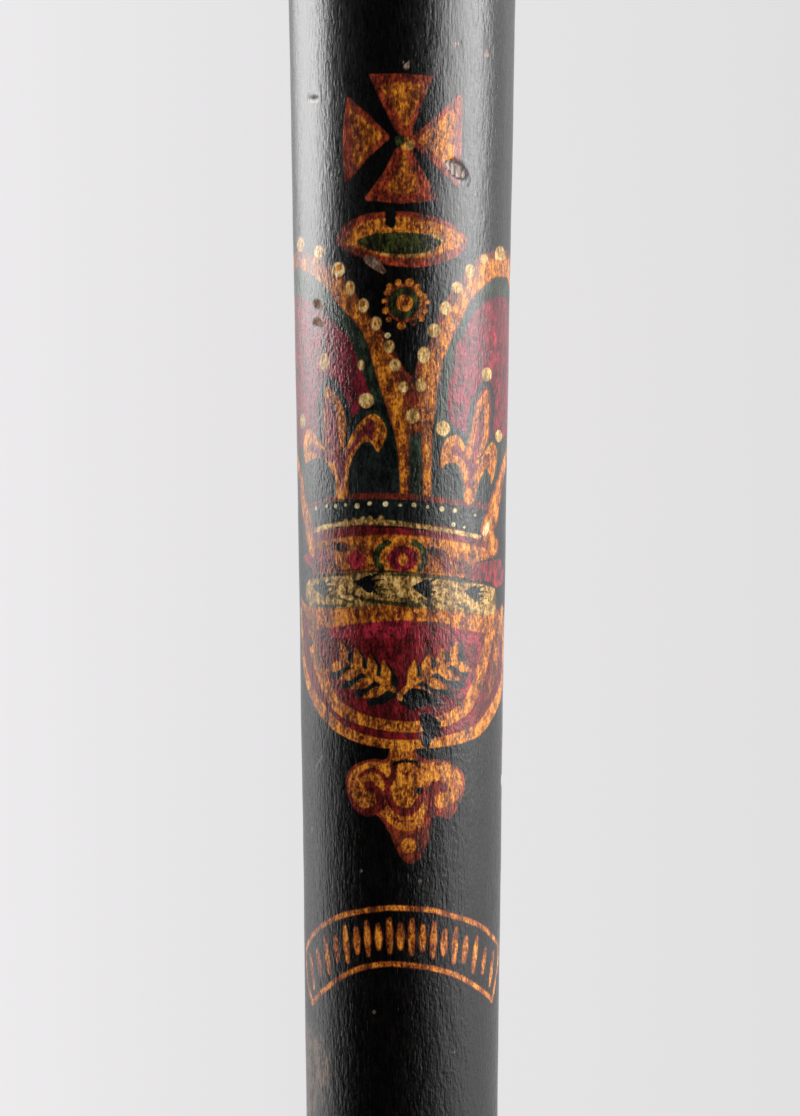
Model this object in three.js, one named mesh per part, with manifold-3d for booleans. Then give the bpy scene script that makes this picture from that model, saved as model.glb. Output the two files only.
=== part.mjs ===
// A constable's staff: one piece of turned hardwood, painted black, lying on its side.
// Millimetres, +Z up. The staff lies along Y with its head towards +Y and its painted face up.
// The origin is on the surface it lies on, below the middle of its length.

import * as THREE from 'three'
import { mergeVertices } from 'three/addons/utils/BufferGeometryUtils.js'
import Module from 'manifold-3d'

// Lengths along the staff, counted from the end of the pommel
const STAFF_LENGTH = 430
const POMMEL_RING = 13
const GRIP_START = 24
const GRIP_END = 97
const BEAD_CENTRE = 108.5
const SHOULDER_START = 113.5
const BARREL_START = 118
const HEAD_RING = 412

// Radii
const POMMEL_RADIUS = 17.5
const GRIP_NECK_RADIUS = 12.9
const GRIP_SWELL = 2.3
const FILLET_RADIUS = 14.6
const BEAD_RADIUS = 17.6
const BEAD_HALF_WIDTH = 3.2
const SHOULDER_RADIUS = 15.6

// The barrel widens towards the head, a little faster the higher it goes
const GAUGE_START = 166.8
const GAUGE_LENGTH = 223.2
const GAUGE_RADIUS = 19.1
const BARREL_FLARE = 2.6
const BARREL_FLARE_CURVE = 1.0

// Scribed rings, cut with the point of a chisel
const SCRIBE_DEPTH = 0.45
const SCRIBE_HALF_WIDTH = 0.6
const GRIP_SCRIBES = [32, 36, 85, 89]
const BARREL_SCRIBES = [123, 126.5]

// How much is taken off where the staff lies, so that it doesn't roll
const FLAT_DEPTH = 0.3

// How finely the round forms are faceted
const SEGMENTS = 48
const BARREL_STEPS = 11
const GRIP_STEPS = 9
const WELD_DISTANCE = 1e-4

function barrelRadius(along) {
  const t = (along - GAUGE_START) / GAUGE_LENGTH
  return GAUGE_RADIUS + BARREL_FLARE * t + BARREL_FLARE_CURVE * t * t
}

function gripRadius(along) {
  const t = (along - GRIP_START) / (GRIP_END - GRIP_START)
  return GRIP_NECK_RADIUS + GRIP_SWELL * Math.sin(Math.PI * t)
}

// An elliptical stroke of the profile, from one angle to another, measured from the staff's axis direction
function arc(centre, base, halfLength, rise, fromDegrees, toDegrees, steps) {
  const points = []
  for (let i = 0; i <= steps; i += 1) {
    const angle = THREE.MathUtils.degToRad(THREE.MathUtils.lerp(fromDegrees, toDegrees, i / steps))
    points.push([centre + halfLength * Math.cos(angle), base + rise * Math.sin(angle)])
  }
  return points
}

// Points along a stretch whose radius follows a formula, with V grooves where the rings are scribed
function turnedStretch(start, end, steps, radiusAt, scribes) {
  const stations = []
  for (let i = 0; i <= steps; i += 1) {
    stations.push(THREE.MathUtils.lerp(start, end, i / steps))
  }
  const clear = stations.filter((at) => scribes.every((ring) => Math.abs(at - ring) > 2 * SCRIBE_HALF_WIDTH))
  const points = clear.map((at) => [at, radiusAt(at)])
  for (const ring of scribes) {
    points.push([ring - SCRIBE_HALF_WIDTH, radiusAt(ring - SCRIBE_HALF_WIDTH)])
    points.push([ring, radiusAt(ring) - SCRIBE_DEPTH])
    points.push([ring + SCRIBE_HALF_WIDTH, radiusAt(ring + SCRIBE_HALF_WIDTH)])
  }
  return points.sort((a, b) => a[0] - b[0])
}

function pommelProfile() {
  return [
    ...arc(POMMEL_RING, 0, POMMEL_RING, POMMEL_RADIUS, 180, 48, 9),
    [GRIP_START - 1, GRIP_NECK_RADIUS - 0.5]
  ]
}

function gripProfile() {
  return turnedStretch(GRIP_START, GRIP_END, GRIP_STEPS, gripRadius, GRIP_SCRIBES)
}

// A square fillet, a cove running up to the bead, the bead, and the groove behind it
function collarProfile() {
  const coveEnd = BEAD_CENTRE - BEAD_HALF_WIDTH
  return [
    [GRIP_END + 0.6, FILLET_RADIUS],
    [GRIP_END + 2.2, FILLET_RADIUS],
    ...arc(GRIP_END + 2.8, SHOULDER_RADIUS + 0.4, coveEnd - GRIP_END - 2.8, 1.9, 270, 360, 4),
    ...arc(BEAD_CENTRE, SHOULDER_RADIUS, BEAD_HALF_WIDTH, BEAD_RADIUS - SHOULDER_RADIUS, 165, 15, 6),
    [BEAD_CENTRE + BEAD_HALF_WIDTH + 0.2, SHOULDER_RADIUS - 0.4],
    [SHOULDER_START - 0.4, SHOULDER_RADIUS - 0.4]
  ]
}

function barrelProfile() {
  const rise = barrelRadius(BARREL_START) - SHOULDER_RADIUS
  const shoulder = arc(BARREL_START, SHOULDER_RADIUS, BARREL_START - SHOULDER_START, rise, 180, 100, 4)
  const stretch = turnedStretch(BARREL_START, HEAD_RING, BARREL_STEPS, barrelRadius, BARREL_SCRIBES)
  return [...shoulder, ...stretch]
}

function headProfile() {
  const dome = arc(HEAD_RING, 0, STAFF_LENGTH - HEAD_RING, barrelRadius(HEAD_RING), 84, 0, 9)
  dome[dome.length - 1][1] = 0
  return dome
}

function staffProfile() {
  const handle = [...pommelProfile(), ...gripProfile(), ...collarProfile()]
  handle[0] = [0, 0]
  return [...handle, ...barrelProfile(), ...headProfile()]
}

// The head is thicker than the pommel, so the axis slopes a little when the staff lies down
const HEAD_RADIUS = barrelRadius(HEAD_RING)
const TILT = Math.atan2(HEAD_RADIUS - POMMEL_RADIUS, HEAD_RING - POMMEL_RING)
const AXIS_HEIGHT = POMMEL_RADIUS * Math.cos(TILT) - POMMEL_RING * Math.sin(TILT) - FLAT_DEPTH

function turnedGeometry() {
  const points = staffProfile().map(([along, radius]) => new THREE.Vector2(radius, along))
  const geometry = new THREE.LatheGeometry(points, SEGMENTS)
  geometry.rotateX(TILT)
  geometry.translate(0, (-STAFF_LENGTH * Math.cos(TILT)) / 2, AXIS_HEIGHT)
  return geometry
}

const wasm = await Module()
wasm.setup()

function solidFrom(geometry) {
  const bare = geometry.clone()
  bare.deleteAttribute('normal')
  bare.deleteAttribute('uv')
  const welded = mergeVertices(bare, WELD_DISTANCE)
  const vertProperties = new Float32Array(welded.getAttribute('position').array)
  const triVerts = new Uint32Array(welded.getIndex().array)
  return new wasm.Manifold(new wasm.Mesh({ numProp: 3, vertProperties, triVerts }))
}

function geometryFrom(solid) {
  const mesh = solid.getMesh()
  const geometry = new THREE.BufferGeometry()
  geometry.setAttribute('position', new THREE.BufferAttribute(new Float32Array(mesh.vertProperties), 3))
  geometry.setIndex(new THREE.BufferAttribute(new Uint32Array(mesh.triVerts), 1))
  geometry.computeVertexNormals()
  return geometry
}

// Everything below the surface the staff lies on, taken off as two small flats
function belowSurface() {
  const margin = 10
  const width = 2 * (HEAD_RADIUS + margin)
  const block = new THREE.BoxGeometry(width, STAFF_LENGTH + 2 * margin, margin)
  block.translate(0, 0, -margin / 2)
  return block
}

function makeStaff() {
  const turned = solidFrom(turnedGeometry())
  const flattened = turned.subtract(solidFrom(belowSurface()))
  const varnish = new THREE.MeshStandardMaterial({ color: 0x14110f, roughness: 0.38, metalness: 0 })
  const staff = new THREE.Mesh(geometryFrom(flattened), varnish)
  staff.name = 'staff'
  return staff
}

const constableStaff = new THREE.Group()
constableStaff.add(makeStaff())

export default constableStaff
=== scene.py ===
import cmath
import math

import bpy
import numpy as np
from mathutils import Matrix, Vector


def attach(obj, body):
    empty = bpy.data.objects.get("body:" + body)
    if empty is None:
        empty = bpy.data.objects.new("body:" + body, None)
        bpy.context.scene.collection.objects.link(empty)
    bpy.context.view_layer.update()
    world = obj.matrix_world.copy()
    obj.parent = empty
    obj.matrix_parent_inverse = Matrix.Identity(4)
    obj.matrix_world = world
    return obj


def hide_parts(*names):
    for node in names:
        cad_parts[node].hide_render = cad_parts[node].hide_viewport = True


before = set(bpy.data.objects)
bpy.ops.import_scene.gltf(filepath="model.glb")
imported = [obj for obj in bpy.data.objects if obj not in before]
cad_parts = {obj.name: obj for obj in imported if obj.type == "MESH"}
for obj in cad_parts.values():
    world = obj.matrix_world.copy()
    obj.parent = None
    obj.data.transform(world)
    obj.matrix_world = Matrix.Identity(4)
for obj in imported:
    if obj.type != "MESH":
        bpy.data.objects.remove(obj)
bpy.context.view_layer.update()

# A constable's staff of turned hardwood, varnished black and painted with a crown.
# Lengths are in millimetres until a mesh is made. The staff lies along Y with its painted face up.
MM = 0.001

# Lengths along the staff, counted from the end of the pommel
STAFF_LENGTH = 430
POMMEL_RING = 13
GRIP_START = 24
GRIP_END = 97
BEAD_CENTRE = 108.5
SHOULDER_START = 113.5
BARREL_START = 118
HEAD_RING = 412

# Radii
POMMEL_RADIUS = 17.5
GRIP_NECK_RADIUS = 12.9
GRIP_SWELL = 2.3
FILLET_RADIUS = 14.6
BEAD_RADIUS = 17.6
BEAD_HALF_WIDTH = 3.2
SHOULDER_RADIUS = 15.6

# The barrel widens towards the head, a little faster the higher it goes
GAUGE_START = 166.8
GAUGE_LENGTH = 223.2
GAUGE_RADIUS = 19.1
BARREL_FLARE = 2.6
BARREL_FLARE_CURVE = 1.0

# Scribed rings
SCRIBE_DEPTH = 0.45
SCRIBE_HALF_WIDTH = 0.6
GRIP_SCRIBES = (32, 36, 85, 89)
BARREL_SCRIBES = (123, 126.5)
FLAT_DEPTH = 0.3

# The painted face is counted from the middle of what the picture shows
FACE_MIDDLE = GAUGE_START + GAUGE_LENGTH / 2
PAINTED_BELOW = 93
PAINTED_ABOVE = 99
FINE_STEP = 0.47
FINE_HALF_TURN = math.radians(92)
FINE_COLUMNS = 140
BACK_COLUMNS = 26

# The camera looks square on to the axis, and its frame is as tall as the gauge length
CAMERA_LENS = 180
CAMERA_SENSOR = 36
CAMERA_DISTANCE = GAUGE_LENGTH * CAMERA_LENS / CAMERA_SENSOR
CAMERA_ASIDE = -0.4


def barrel_radius(along):
    t = (along - GAUGE_START) / GAUGE_LENGTH
    return GAUGE_RADIUS + BARREL_FLARE * t + BARREL_FLARE_CURVE * t * t


def grip_radius(along):
    t = (along - GRIP_START) / (GRIP_END - GRIP_START)
    return GRIP_NECK_RADIUS + GRIP_SWELL * math.sin(math.pi * t)


HEAD_RADIUS = barrel_radius(HEAD_RING)
SLOPE = math.atan2(HEAD_RADIUS - POMMEL_RADIUS, HEAD_RING - POMMEL_RING)
AXIS_HEIGHT = POMMEL_RADIUS * math.cos(SLOPE) - POMMEL_RING * math.sin(SLOPE) - FLAT_DEPTH
HALF_RUN = STAFF_LENGTH * math.cos(SLOPE) / 2


def point_on_axis(along):
    """A point of the staff's axis, in metres."""
    y = along * math.cos(SLOPE) - HALF_RUN
    z = along * math.sin(SLOPE) + AXIS_HEIGHT
    return Vector((0, y * MM, z * MM))


def new_object(name, data):
    made = bpy.data.objects.new(name, data)
    bpy.context.scene.collection.objects.link(made)
    return made


# Camera


def make_camera():
    data = bpy.data.cameras.new("camera")
    data.lens = CAMERA_LENS
    data.sensor_width = CAMERA_SENSOR
    camera = new_object("camera", data)
    away = Vector((0, -math.sin(SLOPE), math.cos(SLOPE)))
    aside = Vector((CAMERA_ASIDE * MM, 0, 0))
    camera.location = point_on_axis(FACE_MIDDLE) + away * CAMERA_DISTANCE * MM + aside
    camera.rotation_euler = (SLOPE, 0, 0)
    bpy.context.scene.camera = camera


# Turned profile


def arc(centre, base, half_length, rise, start, end, steps):
    """An elliptical stroke of the profile, from one angle in degrees to another."""
    angles = np.radians(np.linspace(start, end, steps + 1))
    return [(centre + half_length * math.cos(a), base + rise * math.sin(a)) for a in angles]


def turned_stretch(stations, radius_at, scribes):
    """Points along a stretch whose radius follows a formula, with V grooves where rings are scribed."""
    clear = [s for s in stations if all(abs(s - ring) > 1.5 * SCRIBE_HALF_WIDTH for ring in scribes)]
    points = [(s, radius_at(s)) for s in clear]
    for ring in scribes:
        for side in (-SCRIBE_HALF_WIDTH, SCRIBE_HALF_WIDTH):
            points.append((ring + side, radius_at(ring + side)))
        points.append((ring, radius_at(ring) - SCRIBE_DEPTH))
    return sorted(points)


def spaced(start, end, step):
    return list(np.linspace(start, end, max(2, round((end - start) / step) + 1)))


def handle_profile():
    cove_end = BEAD_CENTRE - BEAD_HALF_WIDTH
    cove_start = GRIP_END + 2.8
    return [
        *arc(POMMEL_RING, 0, POMMEL_RING, POMMEL_RADIUS, 180, 48, 16),
        (GRIP_START - 1, GRIP_NECK_RADIUS - 0.5),
        *turned_stretch(spaced(GRIP_START, GRIP_END, 2), grip_radius, GRIP_SCRIBES),
        (GRIP_END + 0.6, FILLET_RADIUS),
        (GRIP_END + 2.2, FILLET_RADIUS),
        *arc(cove_start, SHOULDER_RADIUS + 0.4, cove_end - cove_start, 1.9, 270, 360, 7),
        *arc(BEAD_CENTRE, SHOULDER_RADIUS, BEAD_HALF_WIDTH, BEAD_RADIUS - SHOULDER_RADIUS, 165, 15, 10),
        (BEAD_CENTRE + BEAD_HALF_WIDTH + 0.2, SHOULDER_RADIUS - 0.4),
        (SHOULDER_START - 0.4, SHOULDER_RADIUS - 0.4),
    ]


def barrel_profile():
    rise = barrel_radius(BARREL_START) - SHOULDER_RADIUS
    low, high = FACE_MIDDLE - PAINTED_BELOW, FACE_MIDDLE + PAINTED_ABOVE
    plain_below = spaced(BARREL_START, low, 2.2)
    painted = spaced(low, high, FINE_STEP)[1:]
    plain_above = spaced(high, HEAD_RING, 2)[1:]
    return [
        *arc(BARREL_START, SHOULDER_RADIUS, BARREL_START - SHOULDER_START, rise, 180, 100, 7),
        *turned_stretch([*plain_below, *painted, *plain_above], barrel_radius, BARREL_SCRIBES),
    ]


def staff_profile():
    """Every ring of the staff between its two ends, as length along it and radius."""
    head = arc(HEAD_RING, 0, STAFF_LENGTH - HEAD_RING, HEAD_RADIUS, 84, 0, 16)
    return [*handle_profile()[1:], *barrel_profile(), *head[:-1]]


def column_angles():
    """Angles round the staff, finely spaced on the painted face. The face's middle is at nought."""
    face = np.linspace(-FINE_HALF_TURN, FINE_HALF_TURN, FINE_COLUMNS)
    back = np.linspace(FINE_HALF_TURN, 2 * math.pi - FINE_HALF_TURN, BACK_COLUMNS + 2)[1:-1]
    return np.concatenate([face, back - 2 * math.pi * (back > math.pi)])


# Painted face

# Each place on the face is one complex number, its distance across and up from the middle as seen square
# on. Places and lengths there are in tenths of a millimetre. No length is taken as less than TINY.
TENTH = 0.1
TINY = 1e-9

# How far across its radius the staff is still seen, and how often a place is worked out anew
SEEN_EDGE = 0.96
ROLL_PASSES = 4


def rolled(place):
    """Carries a place on the face round the staff, as a distance round and up it in millimetres.

    Past the edge that can be seen, the distance simply runs on round the side.
    """
    across, up = place.real * TENTH, place.imag * TENTH
    angle = 0
    for _ in range(ROLL_PASSES):
        shrink = 1 - barrel_radius(FACE_MIDDLE + up) * math.cos(angle) / CAMERA_DISTANCE
        share = across * shrink / barrel_radius(FACE_MIDDLE + up * shrink)
        held = max(-SEEN_EDGE, min(SEEN_EDGE, share))
        angle = math.asin(held) + (share - held) / math.cos(math.asin(SEEN_EDGE))
    return barrel_radius(FACE_MIDDLE + up * shrink) * angle, up * shrink


def smoothed(points, closed, steps=5):
    """A curve through the points."""
    p = np.array(points)
    count = len(p)
    made = []
    for i in range(count if closed else count - 1):
        around = [i - 1, i, i + 1, i + 2]
        a, b, c, d = (p[j % count if closed else max(0, min(count - 1, j))] for j in around)
        for t in np.linspace(0, 1, steps, endpoint=False):
            made.append(
                0.5 * (2 * b + (c - a) * t + (2 * a - 5 * b + 4 * c - d) * t**2)
                + 0.5 * (3 * b - a - 3 * c + d) * t**3
            )
    if not closed:
        made.append(p[-1])
    return np.array(made)


def to_segments(where, starts, ends):
    """For each place, its distance to each segment and how far along that segment it is."""
    run = ends - starts
    gap = where[:, None, :] - starts[None]
    along = np.clip((gap * run).sum(2) / np.maximum((run * run).sum(1), TINY), 0, 1)
    return np.linalg.norm(gap - along[..., None] * run[None], axis=2), along


def is_inside(where, corners):
    """Whether each place is inside an outline."""
    x, y = where[:, :1], where[:, 1:]
    ax, ay = corners[:, 0], corners[:, 1]
    bx, by = np.roll(ax, -1), np.roll(ay, -1)
    rise = np.where(by == ay, TINY, by - ay)
    crosses = ((ay > y) != (by > y)) & (x < (bx - ax) * (y - ay) / rise + ax)
    return crosses.sum(1) % 2 == 1


# Each coat, from the lowest: its deep, body and bright colour as on a screen, how far its edge wanders
# and how soft it is, in millimetres, and how much of it is rubbed away
PIGMENTS = {
    "lining": ((12, 14, 8), (22, 32, 20), (42, 58, 40), 0.5, 0.15, 0.2),
    "crimson": ((46, 5, 10), (86, 8, 20), (130, 15, 43), 0.5, 0.14, 0.2),
    "scarlet": ((46, 4, 6), (80, 7, 11), (126, 18, 25), 0.5, 0.14, 0.2),
    "outline": ((6, 8, 7), (13, 18, 16), (26, 34, 32), 0.4, 0.15, 0.2),
    "bole": ((48, 11, 6), (98, 28, 10), (154, 58, 22), 0.6, 0.15, 0.2),
    "gilt": ((70, 28, 5), (132, 64, 7), (210, 131, 28), 0.9, 0.3, 0.345),
    "wash": ((36, 12, 8), (78, 28, 12), (112, 44, 18), 1.4, 0.5, 0.53),
    "leaf": ((12, 11, 4), (30, 34, 11), (62, 70, 24), 0.7, 0.2, 0.36),
    "gem": ((48, 7, 10), (98, 11, 21), (158, 30, 48), 0.6, 0.15, 0.3),
    "cream": ((56, 40, 14), (128, 94, 42), (206, 164, 92), 0.7, 0.2, 0.36),
    "umber": ((24, 18, 6), (52, 42, 15), (92, 76, 32), 0.5, 0.2, 0.34),
    "glaze": ((40, 12, 8), (76, 20, 10), (118, 38, 16), 0.8, 0.2, 0.36),
    "pearl": ((100, 72, 30), (174, 134, 72), (226, 196, 132), 0.6, 0.2, 0.34),
    "topgilt": ((66, 26, 6), (149, 76, 9), (218, 142, 36), 0.6, 0.14, 0.42),
    "plum": ((56, 13, 14), (96, 25, 30), (134, 44, 50), 0.7, 0.2, 0.28),
    "scroll": ((44, 8, 7), (86, 16, 13), (128, 34, 20), 0.7, 0.2, 0.3),
    "bruise": ((58, 38, 30), (102, 72, 58), (146, 112, 94), 0.4, 0.14, 0.3),
    "ink": ((4, 4, 4), (8, 8, 8), (15, 15, 14), 0.5, 0.12, 0.3),
    "bead": ((140, 122, 76), (186, 168, 116), (220, 206, 164), 0.4, 0.12, 0.32),
    "loss": ((52, 42, 36), (112, 94, 80), (168, 144, 124), 0.6, 0.12, 0.36),
}

# Where the varnish is crazed, worn thin or gone, and the distance beyond which nothing is told apart
CRAZED = "crazed"
WORN = "worn"
BARE = "bare"
FAR = 4.0


class Painting:
    """The distance of every place on the staff from each coat's edge, less than nought inside it."""

    def __init__(self, places):
        self.places = places
        self.coats = {name: np.full(len(places), FAR) for name in (*PIGMENTS, CRAZED, WORN, BARE)}

    def lay(self, coat, shape, reach, distance):
        low, high = shape.min(0) - reach - FAR, shape.max(0) + reach + FAR
        near = ((self.places > low) & (self.places < high)).all(1)
        if near.any():
            field = self.coats[coat]
            field[near] = np.minimum(field[near], distance(self.places[near]))

    def cover(self, coat, shape):
        def distance(where):
            gap = to_segments(where, shape, np.roll(shape, -1, 0))[0].min(1)
            return np.where(is_inside(where, shape), -gap, gap)

        self.lay(coat, shape, 0, distance)

    def patch(self, coat, *outlines):
        """Areas with straight edges."""
        for points in outlines:
            self.cover(coat, np.array([rolled(p) for p in points]))

    def fill(self, coat, *outlines):
        """Areas with curved edges."""
        for points in outlines:
            self.cover(coat, smoothed([rolled(p) for p in points], True))

    def stroke(self, coat, points, widths, curved=True):
        """A brush stroke. Its widths are spread evenly along it."""
        shape = np.array([rolled(p) for p in points])
        shape = smoothed(shape, False) if curved else shape
        widths = np.atleast_1d(widths) * TENTH
        half = np.interp(np.linspace(0, 1, len(shape)), np.linspace(0, 1, len(widths)), widths) / 2

        def distance(where):
            gap, along = to_segments(where, shape[:-1], shape[1:])
            return (gap - half[:-1] - along * (half[1:] - half[:-1])[None]).min(1)

        self.lay(coat, shape, max(widths), distance)

    def strokes(self, coat, *lines):
        """Several strokes, each with its points and its widths."""
        for points, widths in lines:
            self.stroke(coat, points, widths)

    def dot(self, coat, centre, radius, stretch=1.0):
        """A dab of the brush. Stretch is how much taller than wide it is."""
        middle = np.array([rolled(centre)])
        radius = radius * TENTH
        scale = np.array([1.0, 1.0 / stretch])

        def distance(where):
            return np.linalg.norm((where - middle) * scale, axis=1) - radius

        self.lay(coat, middle, radius * stretch, distance)


def evenly(points, count):
    """The same line with evenly spaced points."""
    line = smoothed(points, False, 8)
    run = np.concatenate([[0], np.cumsum(np.abs(np.diff(line)))])
    return np.interp(np.linspace(0, run[-1], count), run, line)


def between(one_edge, other_edge, low, high, count=22):
    """The outline of the part of a band that lies between two shares of its width."""
    a, b = evenly(one_edge, count), evenly(other_edge, count)
    return [*(a + (b - a) * low), *(a + (b - a) * high)[::-1]]


# The crown, from the top


def paint_cross(art):
    art.patch("bole",
        [-67+968j, -2+969j, 63+964j, 40+908j, 22+860j, 21+838j, 2+840j, -12+853j, -36+900j],
        [-111+923j, -106+922j, -68+888j, -25+845j, -26+838j, -64+804j, -108+752j, -114+752j, -120+836j],
        [115+928j, 120+922j, 121+836j, 115+744j, 108+744j, 68+784j, 22+826j, 20+842j, 64+880j],
        [-12+820j, 18+820j, 36+784j, 71+721j, 68+714j, -2+709j, -72+715j, -75+720j, -36+772j])
    art.fill("gilt",
        [-38+947j, 44+947j, 30+908j, 14+872j, 7+864j, -4+880j, -24+916j],
        [-105+896j, -94+892j, -64+868j, -40+844j, -64+822j, -90+780j, -98+796j, -101+856j],
        [4+812j, 14+786j, 28+762j, 32+740j, 4+728j, -30+737j, -10+772j])
    # The right arm in the brighter gold is painted highlight: that side is lit more from the right
    art.fill("topgilt", [30+836j, 68+868j, 102+898j, 106+856j, 102+776j, 88+784j, 56+818j])
    art.stroke("wash", [-98+884j, -90+824j, -98+780j], [12, 26, 12])
    art.dot("gilt", 11+828j, 14)
    art.dot("cream", 14+826j, 9)
    art.dot("leaf", -4+835j, 10, 1.2)


def paint_monde(art):
    art.fill("bole", [-131+634j, -120+660j, -96+678j, -66+689j, -10+693j, 34+690j, 93+672j, 118+652j,
        131+630j, 108+602j, 53+584j, 5+582j, -50+591j, -108+612j])
    art.fill("gilt", [-120+634j, -92+664j, -64+676j, -10+682j, 34+678j, 90+661j, 120+632j, 92+614j,
        52+602j, 4+600j, -48+607j, -98+621j])
    art.stroke("topgilt", [0+673j, 52+668j, 96+652j, 116+632j, 88+618j], [6, 10, 12, 14, 6])
    art.stroke("wash", [-112+636j, -88+657j, -56+670j], [12, 16, 10])
    art.fill("leaf", [-92+633j, -72+644j, -44+650j, -4+652j, 40+649j, 64+641j, 82+630j, 60+616j,
        32+609j, -4+607j, -48+612j, -76+622j])
    art.strokes("cream",
        ([48+652j, 72+643j, 88+630j], [4, 8, 4]),
        ([72+618j, 40+607j, -4+604j, -44+607j], [4, 6, 4]))
    art.patch("ink", [-34+702j, -12+700j, -13+664j, -22+658j, -33+668j])
    art.stroke("bruise", [-70+598j, -56+590j, -38+574j], [16, 22, 12])
    art.stroke("loss", [-66+599j, -48+588j], [6, 10, 6])


# Where the rosette's gold dabs sit, and how big each came out
ROSETTE_DABS = (
    (-8+551j, 6.8), (15+551j, 8.4), (31+542j, 6.4), (44+523j, 6), (51+511j, 4.8), (46+494j, 6),
    (39+479j, 6.8), (23+468j, 4.4), (-1+465j, 8.4), (-27+477j, 5.6), (-33+495j, 6.8), (-37+514j, 4.4),
    (-31+531j, 5.2), (-25+543j, 6.8),
)


def paint_rosette(art):
    centre = 5+510j
    art.dot("bole", centre, 38)
    art.dot("leaf", 3+510j, 32)
    art.stroke("gilt", [30+538j, 40+516j, 38+496j, 24+480j], [8, 16, 10])
    art.dot("topgilt", centre, 16.8)
    art.dot("pearl", 0+518j, 6)
    art.stroke("scroll", [0+510j, 6+507j, 12+514j], 5.2)
    for place, radius in ROSETTE_DABS:
        art.dot("topgilt", place, radius)


LEFT_ARCH_OUTER = [-228+600j, -214+616j, -190+612j, -166+600j, -128+572j, -100+542j, -62+478j, -39+456j,
    -22+427j, -4+393j, 13+357j, 22+316j, 18+266j, 13+226j, 14+176j, 14+118j]
LEFT_ARCH_INNER = [-224+566j, -214+584j, -186+570j, -152+542j, -128+506j, -89+466j, -69+427j, -50+357j,
    -35+312j, -20+268j, -10+226j, -5+176j, -4+118j]
RIGHT_ARCH_OUTER = [228+592j, 212+614j, 187+615j, 154+604j, 120+563j, 101+535j, 78+496j, 61+443j,
    33+393j, 23+356j, 32+316j, 36+266j, 40+226j, 41+176j, 40+118j]
RIGHT_ARCH_INNER = [220+536j, 210+562j, 194+564j, 177+554j, 154+535j, 135+510j, 120+477j, 93+422j,
    82+391j, 74+351j, 68+312j, 63+274j, 60+226j, 58+176j, 59+118j]


def paint_under_arches(art):
    """The green lining and the crimson cap that show under each arch, with painted light down the right
    cap.
    """
    art.patch("lining",
        [*LEFT_ARCH_INNER, -4+116j, -124+112j, -192+116j, -208+176j, -228+256j, -236+416j, -232+536j],
        [*RIGHT_ARCH_INNER, 58+116j, 136+106j, 188+106j, 206+176j, 224+256j, 236+416j, 232+516j],
        [12+260j, 44+260j, 44+116j, 10+116j])
    art.fill("crimson",
        [-232+516j, -214+527j, -186+513j, -158+489j, -130+466j, -110+446j, -96+418j, -82+380j, -68+342j,
         -58+312j, -68+292j, -100+268j, -114+236j, -152+224j, -184+236j, -212+216j, -226+256j, -232+396j],
        [189+524j, 168+514j, 149+496j, 135+472j, 122+443j, 110+427j, 101+379j, 93+341j, 91+303j,
         93+280j, 112+256j, 136+232j, 168+236j, 196+236j, 220+266j, 230+396j, 224+486j, 208+518j])
    # Brighter red down the right of the right cap: painted light, as that side is lit more from the right
    art.stroke("gem", [174+500j, 182+456j, 188+396j, 192+346j, 192+296j], [10, 20, 18, 14, 10])


# Between which shares of its width an arch has gilding and wash, and the right one a painted highlight at
# its top
GILDED = (0.14, 0.97)
LEFT_WASH = (0, 0.42)
RIGHT_WASH = (0, 0.3)
PAINTED_HIGHLIGHT = (0.38, 0.93)
PAINTED_HIGHLIGHT_LENGTH = 10


def paint_arches(art):
    left, right = (LEFT_ARCH_OUTER, LEFT_ARCH_INNER), (RIGHT_ARCH_OUTER, RIGHT_ARCH_INNER)
    for arch, wash in ((left, LEFT_WASH), (right, RIGHT_WASH)):
        art.patch("bole", between(*arch, 0, 1))
        art.patch("gilt", between(*arch, *GILDED))
        art.patch("wash", between(*arch, *wash))
    # Brighter gold over the top of the right arch: painted highlight, as that side is lit more from the
    # right
    top = [edge[:PAINTED_HIGHLIGHT_LENGTH] for edge in right]
    art.patch("topgilt", between(*top, *PAINTED_HIGHLIGHT))
    left_leg = [-222+592j, -234+536j, -238+416j, -232+276j, -212+200j, -202+152j, -197+110j, -189+71j,
        -183+34j, -178+12j]
    right_leg = [224+592j, 236+516j, 240+416j, 232+316j, 218+236j, 202+176j, 191+126j, 182+86j, 172+52j,
        182+24j]
    art.strokes("bole",
        (left_leg, [22, 20, 28, 38, 30]),
        (right_leg, [24, 22, 30, 48, 48]))
    art.strokes("topgilt",
        (left_leg, [16, 14, 20, 30, 22]),
        (right_leg, [18, 16, 22, 36, 38]))
    art.fill("bole", [20+360j, 6+372j, -4+348j, 4+276j, 8+256j, 40+256j, 44+306j])
    art.fill("gilt", [12+316j, 6+332j, 0+356j, 10+360j, 22+348j, 34+360j, 42+348j, 36+316j, 38+262j,
        10+262j])
    art.fill("glaze", [8+334j, 22+340j, 36+334j, 32+312j, 22+304j, 10+312j])
    art.stroke("wash", [22+312j, 20+260j], [20, 28])


# The pearls along the arches and on the lilies, with their size and how tall each is
PEARLS = (
    (-203+627j, 20, 0.75), (-166+612j, 15.2, 0.88), (-128+577j, 15.6, 0.95), (-104+540j, 10.4, 1.4),
    (-78+505j, 11.6, 1.2), (-52+469j, 10.8, 1.25), (-26+423j, 10.4, 1.2), (-14+386j, 10.8, 1.15),
    (3+342j, 9.6, 1.15), (21+284j, 13.2, 1.1), (197+606j, 23, 0.8), (165+598j, 11.2, 0.9),
    (136+574j, 12.4, 1.1), (110+541j, 12.4, 0.95), (87+500j, 12, 1.08), (64+455j, 13.6, 1.0),
    (44+406j, 12.4, 1.3), (37+346j, 10.4, 1.3),
)
LILY_PEARLS = (
    (-156+392j, 14, 1.25), (-72+315j, 16, 0.92), (-199+274j, 16, 0.92), (-82+386j, 7.6, 1.3),
    (170+367j, 16, 0.86), (82+259j, 14.8, 1.0), (194+244j, 17, 0.72),
)


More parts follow.
